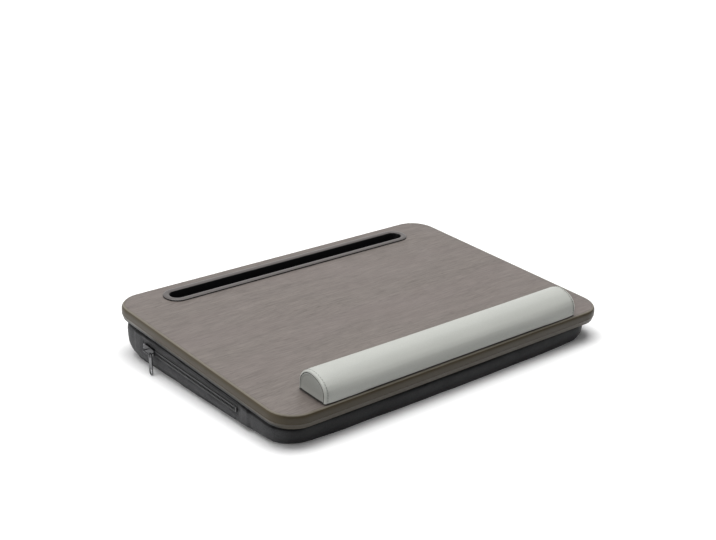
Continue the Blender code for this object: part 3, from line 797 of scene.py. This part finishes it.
def map_cloth(piece):
    """A map in metres: round the wall and up it, and flat across the top and the underside."""
    mesh = piece.data
    uv = mesh.uv_layers.new(name="cloth").uv
    for polygon in mesh.polygons:
        wall = WALL_SLANTS[0] < polygon.normal.z < WALL_SLANTS[1]
        polygon.material_index = 0 if wall else 1
        first = None
        for corner in polygon.loop_indices:
            point = mesh.vertices[mesh.loops[corner].vertex_index].co
            if wall:
                run = plan_distance(point.x, point.y)
                first = run if first is None else first
                if run - first > MAP_JUMP:
                    run -= 4 * QUARTER_RUN
                if first - run > MAP_JUMP:
                    run += 4 * QUARTER_RUN
                uv[corner].vector = (run, point.z)
            else:
                uv[corner].vector = (point.x, point.y)


def wall_facing(x, y):
    """The way the cushion's nearest wall faces in plan, and how far inside that wall a point is."""
    run = Vector((x - CUSHION_PLACE.x, y - CUSHION_PLACE.y, 0))
    past_x = abs(run.x) - STRAIGHT_X
    past_y = abs(run.y) - STRAIGHT_Y
    past = Vector((max(past_x, 0), max(past_y, 0), 0))
    if past.length < 1e-6:
        past = Vector((1, 0, 0)) if past_x > past_y else Vector((0, 1, 0))
        inside = CUSHION_CORNER - max(past_x, past_y)
    else:
        inside = CUSHION_CORNER - past.length
    outward = past.normalized()
    outward.x *= 1 if run.x > 0 else -1
    outward.y *= 1 if run.y > 0 else -1
    return outward, inside


def corner_share(x, y):
    """How near a place in plan is to a corner, felt from further off in front than at the rear."""
    from_end = CUSHION_LENGTH / 2 - abs(x - CUSHION_PLACE.x)
    from_edge = CUSHION_DEPTH / 2 - abs(y - CUSHION_PLACE.y)
    end_run, edge_run = (0.08, 0.2) if y < CUSHION_PLACE.y else (0.06, 0.06)
    return eased(clamped(1 - from_end / end_run)) * eased(clamped(1 - from_edge / edge_run))


def window_dip(run, height):
    """How far the wall dips at a place in the zip's frame, towards the window round the zip."""
    past = hypot(max(ZIP_FRONT - run, run - ZIP_REAR, 0), max(abs(height) - WINDOW_HALF, 0))
    return WINDOW_DIP * eased(max(1 - past / WINDOW_SLOPE, 0))


# How the cover settles: gaps and folds in metres, and its tuck's shares at the floor and a corner
CEILING_GAP = 0.0002
TOP_FOLD = 0.007
FLOOR_FOLD = 0.006
CORNER_FOLD = 0.004
FOLD_REACH = 0.014
FLOOR_TUCK = 0.4
CORNER_TUCK = 2.0
RIPPLE = 0.0005
WINDOW_MARGIN = 0.02
WINDOW_REACH = 0.014
WALL_SKIN = 0.006
WALL_GAP = 0.0001


def rounded(near):
    """How far a quarter-round edge falls back, as a share of its size."""
    return 1 - (1 - near ** 2) ** 0.5


def settle_cushion(piece, tuck=0.0):
    """Keeps the cushion under the board, tucks in its edges and corners, and ripples its cloth."""
    points = points_of(piece.data)
    flatten = ZIP_MATRIX.inverted()
    for index, (x, y, z) in enumerate(points):
        spot = Vector((x, y, z))
        outward, inside = wall_facing(x, y)
        ceiling = cushion_top(spot.y) - CEILING_GAP
        at_corner = corner_share(x, y)
        near_top = clamped(1 - (ceiling - z) / TOP_FOLD)
        near_floor = clamped(1 - z / (FLOOR_FOLD + CORNER_FOLD * at_corner))
        fold = rounded(near_top) + (FLOOR_TUCK + CORNER_TUCK * at_corner) * rounded(near_floor)
        pull = tuck * fold * clamped(1 - inside / FOLD_REACH)
        ripple = noise.noise(spot * 26, noise_basis="PERLIN_ORIGINAL")
        ripple += 0.4 * noise.noise(spot * 70)
        spot += outward * (RIPPLE * ripple - pull)
        spot.z = min(spot.z, ceiling)
        place = flatten @ spot
        along_zip = ZIP_FRONT - WINDOW_MARGIN < place.y < ZIP_REAR + WINDOW_MARGIN
        if along_zip and abs(place.z) < WINDOW_REACH and spot.x < ZIP_LEFT + WALL_SKIN:
            spot.x = ZIP_LEFT + WALL_GAP + window_dip(place.y, place.z)
        points[index] = spot
    set_points(piece.data, points)


# The cover's voxels, how slack it starts, its tuck, how far its hull is lowered before it is cut
# off at its underside, and the pocket that the zip needs
CUSHION_VOXEL = 0.0045
CUSHION_SLACK = 0.0006
CUSHION_TUCK = 0.0045
CUSHION_LOWERED = Vector((0, 0, -0.009))
CUSHION_FLOOR = Vector((0, 0, 0.0002))
POCKET_LOW = (-0.004, ZIP_FRONT, -WINDOW_HALF)
POCKET_HIGH = (0.0048, ZIP_REAR, WINDOW_HALF)


class LAPDESK_OT_cushion(bpy.types.Operator):
    """Makes the cloth-covered wedge cushion and opens its zip window"""

    bl_idname = "lapdesk.cushion"
    bl_label = "Cushion"

    def execute(self, context):
        look = context.scene.lapdesk_cushion
        shape = hull_of(("cushion_gusset", "cushion_bottom_panel", "cushion_top_panel"))
        deepened(shape, lambda point: point.z, CUSHION_LOWERED)
        piece = mesh_object("cushion_cover", shape)
        remeshed(piece, CUSHION_VOXEL)
        drawn_in(piece, CUSHION_SLACK)
        inflate(piece, look.swell)
        settle_cushion(piece, CUSHION_TUCK)
        subdivided(piece)
        settle_cushion(piece)
        trimmed(piece, CUSHION_FLOOR, Vector((0, 0, -1)))
        cut_pocket(piece, POCKET_LOW, POCKET_HIGH, ZIP_MATRIX)
        map_cloth(piece)
        wall = cloth_finish("cushion_cloth", look)
        underside = cloth_finish("cushion_underside_cloth", look, share=0.8)
        assign(piece, wall, underside)
        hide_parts("cushion_gusset", "cushion_bottom_panel", "cushion_top_panel", "cushion_filling")
        return {"FINISHED"}


# The wrist rest in the board's frame: its size, its seat, how far back its crown lies, its upright
# side, its rolled ends, and then what its pad starts from, swells by and is lowered by
REST_Y = -0.1665
REST_LENGTH = 0.4292
REST_DEPTH = 0.052
REST_HEIGHT = 0.0327
REST_SEAT = 0.0012
REST_CROWN_SHIFT = 0.073 * REST_DEPTH
REST_SIDE = 0.34 * REST_HEIGHT
REST_ROLL = 0.0028
REST_END = REST_LENGTH / 2 - REST_ROLL
REST_VOXEL = 0.0024
REST_SLACK = 0.0004
REST_SWELL = 0.0016
REST_LOWERED = -0.008 * BOARD_UP
REST_LAP = 0.0002
SEAT_PLACE = BOARD_MATRIX @ Vector((0, 0, REST_SEAT))
# An end panel: its place inside the section, its foot before the cut, its flat edge, the steps
# round it and in its roll, and the inset and rise of its inner rings
PANEL_SINK = 0.0005
PANEL_FOOT = -0.014
PANEL_EDGE = 0.0003
PANEL_STEPS = 40
ROLL_STEPS = 7
SEAM_RINGS = ((0.0003, -0.0007), (0.0004, 0.0), (0.0003, 0.0007))
WELT_RINGS = ((0.0006, 0.0003), (0.0011, 0.0), (0.0006, -0.0004), (0.003, 0.0003), (0.004, 0.0001))
# A stitch's width and height, its place inside the section and from the end, and how many go round
STITCH_SIZE = (0.0005, 0.0005)
STITCH_SINK = 0.0004
STITCH_INSET = 0.0013
STITCHES_ROUND = 22


def rest_point(angle, grow=0.0):
    """A place on the rest's section, in the board's frame: angle zero is its front, pi its rear."""
    run = REST_DEPTH / 2 + grow
    run += REST_CROWN_SHIFT if angle < pi / 2 else -REST_CROWN_SHIFT
    rise = REST_HEIGHT + grow - REST_SIDE
    return Vector((0, REST_Y + REST_CROWN_SHIFT - run * cos(angle), REST_SIDE + rise * sin(angle)))


class LAPDESK_OT_wrist_rest(bpy.types.Operator):
    """Makes the padded wrist rest, its rolled end panels and their stitches"""

    bl_idname = "lapdesk.wrist_rest"
    bl_label = "Wrist rest"

    def execute(self, context):
        look = context.scene.lapdesk_rest
        skin = leatherette_finish("leatherette", look, share=1.0, foot=0.0018)
        shape = hull_of(("rest_cover", "rest_end_left", "rest_end_right"))
        inverse = BOARD_MATRIX.inverted()
        deepened(shape, lambda point: (inverse @ point).z, REST_LOWERED)
        piece = mesh_object("wrist_rest_pad", shape)
        remeshed(piece, REST_VOXEL)
        drawn_in(piece, REST_SLACK)
        inflate(piece, REST_SWELL)
        self.settle(piece)
        subdivided(piece)
        self.settle(piece)
        trimmed(piece, SEAT_PLACE, -BOARD_UP)
        assign(piece, skin)
        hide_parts("rest_cover", "rest_foam")
        # Painted shade: the end panels take a darker copy of the same leatherette, as they stand in
        # less light
        panel = leatherette_finish("end_leatherette_shaded", look, share=0.69, foot=0.0031)
        thread = moulded_finish("rest_thread", (0.10, 0.10, 0.095), 0.7)
        for side in (-1, 1):
            self.add_end(side, skin, panel, thread)
            self.add_seam(side, look.stitch, thread)
        return {"FINISHED"}

    def settle(self, piece):
        """Keeps the pad between its end panels."""
        inverse = BOARD_MATRIX.inverted()
        reach = REST_END + REST_LAP
        points = points_of(piece.data)
        for index, point in enumerate(points):
            spot = inverse @ Vector(point)
            spot.x = min(max(spot.x, -reach), reach)
            points[index] = BOARD_MATRIX @ spot
        set_points(piece.data, points)

    def add_end(self, side, skin, panel, thread):
        """One end panel: a rolled edge, a seam inside it, a welt and a slightly full middle."""
        angles = [pi * step / PANEL_STEPS for step in range(PANEL_STEPS + 1)]
        outline = [rest_point(angle, -PANEL_SINK) for angle in angles]
        feet = [Vector((0, outline[place].y, PANEL_FOOT)) for place in (0, -1)]
        outline = [feet[0], *outline, feet[1]]
        shape = bmesh.new()
        corners = [shape.verts.new((side * REST_END, point.y, point.z)) for point in outline]
        face = shape.faces.new(corners if side < 0 else corners[::-1])
        raised = bmesh.ops.extrude_face_region(shape, geom=[face])["geom"]
        faces = [item for item in raised if isinstance(item, bmesh.types.BMFace)]
        moved = [item for item in raised if isinstance(item, bmesh.types.BMVert)]
        bmesh.ops.translate(shape, verts=moved, vec=(side * PANEL_EDGE, 0, 0))
        bmesh.ops.recalc_face_normals(shape, faces=shape.faces)
        radius = REST_ROLL - PANEL_EDGE
        turns = [pi / 2 * step / ROLL_STEPS for step in range(ROLL_STEPS + 1)]
        pairs = zip(turns, turns[1:])
        roll = [(radius * (cos(a) - cos(b)), radius * (sin(b) - sin(a))) for a, b in pairs]
        # The seam rings take the dark thread finish: partly the thread, partly painted shade in the
        # groove
        for finish, rings in ((0, roll), (2, SEAM_RINGS), (1, WELT_RINGS)):
            for inset, rise in rings:
                ring = {"thickness": inset, "depth": rise, "use_even_offset": True}
                for item in bmesh.ops.inset_region(shape, faces=faces, **ring)["faces"]:
                    item.material_index = finish
        for middle in faces:
            middle.material_index = 1
        bmesh.ops.transform(shape, matrix=BOARD_MATRIX, verts=shape.verts)
        cut_level(shape, SEAT_PLACE, -BOARD_UP)
        name = "left" if side < 0 else "right"
        piece = mesh_object(f"rest_end_panel_{name}", shape)
        assign(piece, skin, panel, thread)
        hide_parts(f"rest_end_{name}")

    def add_seam(self, side, stitch, thread):
        """Stitches down the sleeve beside the roll at one end."""
        shape = bmesh.new()
        turn = BOARD_MATRIX.to_3x3()
        x = side * (REST_END - STITCH_INSET)
        for step in range(STITCHES_ROUND):
            angle = pi * (step + 0.5) / STITCHES_ROUND
            here = rest_point(angle, -STITCH_SINK)
            along = rest_point(angle + 0.01, -STITCH_SINK) - here
            out = Vector((1, 0, 0)).cross(along)
            place = BOARD_MATRIX @ (here + Vector((x, 0, 0)))
            add_stitch(shape, place, turn @ along, turn @ out, stitch, *STITCH_SIZE)
        for face in (0, pi):
            foot = rest_point(face, -STITCH_SINK)
            for step in range(2):
                place = BOARD_MATRIX @ Vector((x, foot.y, foot.z - stitch * (0.8 + 1.4 * step)))
                out = Vector((0, -cos(face), 0))
                add_stitch(shape, place, turn @ Vector((0, 0, 1)), turn @ out, stitch, *STITCH_SIZE)
        seam = mesh_object("rest_stitches_left" if side < 0 else "rest_stitches_right", shape)
        assign(seam, thread)


# The board
class LAPDESK_OT_board(bpy.types.Operator):
    """Finishes the board, its edge band and its slot tray"""

    bl_idname = "lapdesk.board"
    bl_label = "Board"

    def execute(self, context):
        look = context.scene.lapdesk_board
        dress(walnut_finish(look), "top_laminate")
        dress(fibreboard_finish(), "board_core")
        dress(backing_finish(), "backing_sheet")
        dress(edge_finish(look), "edge_band")
        dress(tray_finish(look), "slot_tray")
        return {"FINISHED"}


class LAPDESK_OT_fixings(bpy.types.Operator):
    """Finishes the hook and loop strips, the tapes and the rest's base"""

    bl_idname = "lapdesk.fixings"
    bl_label = "Fixings"

    def execute(self, context):
        places = ("front", "middle", "rear")
        strips = [f"{kind}_strip_{place}" for kind in ("hook", "loop") for place in places]
        dress(strip_finish("hook_and_loop", (0.02, 0.02, 0.021), 1100.0), *strips)
        tape = strip_finish("fixing_tape", (0.03, 0.03, 0.03), 900.0)
        dress(tape, "rest_tape_front", "rest_tape_rear")
        dress(moulded_finish("rest_base", (0.03, 0.03, 0.03), 0.6), "rest_base")
        return {"FINISHED"}


# The zip's hems: their distance from its middle, and their stitches' pitch and three sizes
HEM_HEIGHT = 0.0085
HEM_PITCH = 0.0032
HEM_STITCH = (0.0024, 0.0005, 0.0004)


class LAPDESK_OT_zip(bpy.types.Operator):
    """Finishes the zip and sews the hems of its window"""

    bl_idname = "lapdesk.zip"
    bl_label = "Zip"

    def execute(self, context):
        look = context.scene.lapdesk_zip
        # Painted light: the tape and the teeth are made paler, to cancel the shade inside the
        # window's pocket
        tape = strip_finish("zip_tape", (0.090, 0.090, 0.092), 1700.0)
        dress(tape, "zip_tape_upper", "zip_tape_lower")
        dress(moulded_finish("zip_teeth", look.chain, 0.45), "zip_teeth_upper", "zip_teeth_lower")
        dress(moulded_finish("zip_stop", look.chain, 0.4), "zip_bottom_stop")
        dress(metal_finish("zip_metal", look.metal, 0.26), "zip_pull")
        dress(metal_finish("dark_metal", shaded(look.metal, 0.45), 0.3), "zip_slider")
        # Painted highlight: the top stops are made much paler metal, for the glints beside the
        # slider
        bright = [min(part, 0.6) for part in shaded(look.metal, 3)]
        dress(metal_finish("painted_glint_metal", bright, 0.3), "zip_top_stop_upper", "zip_top_stop_lower")
        self.add_hems()
        return {"FINISHED"}

    def add_hems(self):
        """A row of stitches above the window and one below it."""
        thread = moulded_finish("hem_thread", (0.02, 0.02, 0.021), 0.8)
        turn = ZIP_MATRIX.to_3x3()
        along = turn @ Vector((0, 1, 0))
        out = turn @ Vector((-1, 0, 0))
        rows = {"hem_stitches_upper": HEM_HEIGHT, "hem_stitches_lower": -HEM_HEIGHT}
        for name, height in rows.items():
            shape = bmesh.new()
            for step in range(int((ZIP_REAR - ZIP_FRONT) / HEM_PITCH)):
                y = ZIP_FRONT + (step + 0.5) * HEM_PITCH
                place = ZIP_MATRIX @ Vector((WALL_GAP + window_dip(y, height), y, height))
                add_stitch(shape, place, along, out, *HEM_STITCH)
            hem = mesh_object(name, shape)
            assign(hem, thread)


# The camera's place, its turn to the left and its dip
CAMERA_PLACE = (-1.00835, -1.222156, 0.69649)
CAMERA_YAW = radians(50.601)
CAMERA_PITCH = radians(20.384)
# The lamp overhead: its place, its sides and its power
LAMP_PLACE = Vector((-0.02, 0.02, 2.2))
LAMP_SIZE = 1.9
LAMP_POWER = 56
# The floor's colour as it lights the object, and the direction from which the world is brighter
FLOOR_LIT = (0.32, 0.32, 0.32)
WINDOW_SIDE = (-0.85, 0.4, 0)


def ray_kinds(tree):
    """One where a ray comes off a gloss or glass, and one where it comes from the camera."""
    path = add_node(tree, "ShaderNodeLightPath").outputs
    gloss = math(tree, "MAXIMUM", path["Is Glossy Ray"], path["Is Transmission Ray"])
    return gloss, path["Is Camera Ray"]


class LAPDESK_OT_stage(bpy.types.Operator):
    """Sets the floor, the light and the camera"""

    bl_idname = "lapdesk.stage"
    bl_label = "Stage"

    def execute(self, context):
        look = context.scene.lapdesk_stage
        self.add_floor(look)
        self.add_light(context.scene)
        self.add_camera(context.scene, look)
        context.scene.view_settings.view_transform = "Standard"
        return {"FINISHED"}

    def add_floor(self, look):
        """A plain floor that keeps the object's shadow and fades to white further off."""
        shape = bmesh.new()
        bmesh.ops.create_grid(shape, x_segments=1, y_segments=1, size=6)
        floor = linked("floor", mesh_from("floor", shape))
        material, tree, shader = new_finish("floor", Roughness=0.9, Specular_IOR_Level=0.0)
        gloss, camera_ray = ray_kinds(tree)
        shown = math(tree, "MAXIMUM", camera_ray, gloss)
        set_colour(tree, shader, blend_colours(tree, shown, FLOOR_LIT, look.floor))
        away = vector_math(tree, "LENGTH", {0: object_space(tree)}, "Value")
        near = remap(tree, away, 0.45, 1.1, 0, 0.4, smooth=True)
        lift = math(tree, "ADD", near, remap(tree, away, 1.1, 2.4, 0, 0.6, smooth=True))
        glow = blend_colours(tree, product(tree, lift, shown), (0, 0, 0), (1, 1, 1))
        shader.inputs["Emission Strength"].default_value = 1
        tree.links.new(glow, shader.inputs["Emission Color"])
        assign(floor, material)

    def add_light(self, scene):
        """A soft world, brighter on its window side, with one wide lamp overhead."""
        world = bpy.data.worlds.new("studio")
        scene.world = world
        world.use_nodes = True
        tree = world.node_tree
        background = tree.nodes["Background"]
        background.inputs["Color"].default_value = (1, 1, 1, 1)
        direction = add_node(tree, "ShaderNodeTexCoord").outputs["Generated"]
        windowward = vector_math(tree, "DOT_PRODUCT", {0: direction, 1: WINDOW_SIDE}, "Value")
        soft = remap(tree, windowward, -0.5, 0.6, 0.16, 0.80, smooth=True)
        mirrored = remap(tree, axes_of(tree, direction)["Y"], -0.4, 0.3, 0.12, 1.0, smooth=True)
        gloss, camera_ray = ray_kinds(tree)
        kinds = {0: gloss, 2: soft, 3: mirrored}
        ambient = add_node(tree, "ShaderNodeMix", kinds, data_type="FLOAT").outputs[0]
        tree.links.new(math(tree, "MAXIMUM", ambient, camera_ray), background.inputs["Strength"])
        lamp = bpy.data.lights.new("overhead", "AREA")
        lamp.size = LAMP_SIZE
        lamp.energy = LAMP_POWER
        light = linked("overhead", lamp)
        light.location = LAMP_PLACE
        light.rotation_euler = (-LAMP_PLACE).to_track_quat("-Z", "Y").to_euler()

    def add_camera(self, scene, look):
        camera = bpy.data.cameras.new("camera")
        camera.lens = look.lens
        camera.sensor_width = 36
        camera.sensor_fit = "HORIZONTAL"
        camera.clip_start = 0.05
        view = linked("camera", camera)
        view.location = CAMERA_PLACE
        level = cos(CAMERA_PITCH)
        direction = Vector((cos(CAMERA_YAW) * level, sin(CAMERA_YAW) * level, -sin(CAMERA_PITCH)))
        view.rotation_euler = direction.to_track_quat("-Z", "Y").to_euler()
        scene.camera = view


class LAPDESK_PT_panel(bpy.types.Panel):
    """Lists the pieces and the sizes and colours of the lap desk"""

    bl_idname = "LAPDESK_PT_panel"
    bl_label = "Lap Desk"
    bl_space_type = "VIEW_3D"
    bl_region_type = "UI"
    bl_category = "Lap Desk"

    def draw(self, context):
        for part, name, fields in PARTS:
            box = self.layout.box()
            settings = getattr(context.scene, f"lapdesk_{name}", None)
            for field in fields:
                box.prop(settings, field)
            box.operator(part.bl_idname)


PARTS = (
    (LAPDESK_OT_board, "board", ("light_wood", "dark_wood", "band", "tray", "rim")),
    (LAPDESK_OT_fixings, "fixings", ()),
    (LAPDESK_OT_cushion, "cushion", ("cloth", "swell", "threads")),
    (LAPDESK_OT_wrist_rest, "rest", ("skin", "stitch")),
    (LAPDESK_OT_zip, "zip", ("metal", "chain")),
    (LAPDESK_OT_stage, "stage", ("floor", "lens")),
)
LOOKS = {
    "board": BoardLook,
    "rest": RestLook,
    "cushion": CushionLook,
    "zip": ZipLook,
    "stage": StageLook,
}
CLASSES = (*LOOKS.values(), *(part for part, name, fields in PARTS), LAPDESK_PT_panel)


def register():
    for item in CLASSES:
        bpy.utils.register_class(item)
    for name, look in LOOKS.items():
        setattr(bpy.types.Scene, f"lapdesk_{name}", bpy.props.PointerProperty(type=look))


def unregister():
    for name in LOOKS:
        delattr(bpy.types.Scene, f"lapdesk_{name}")
    for item in reversed(CLASSES):
        bpy.utils.unregister_class(item)


def main():
    register()
    bpy.ops.lapdesk.stage()
    bpy.ops.lapdesk.board()
    bpy.ops.lapdesk.fixings()
    bpy.ops.lapdesk.cushion()
    bpy.ops.lapdesk.wrist_rest()
    bpy.ops.lapdesk.zip()


if __name__ == "__main__":
    main()
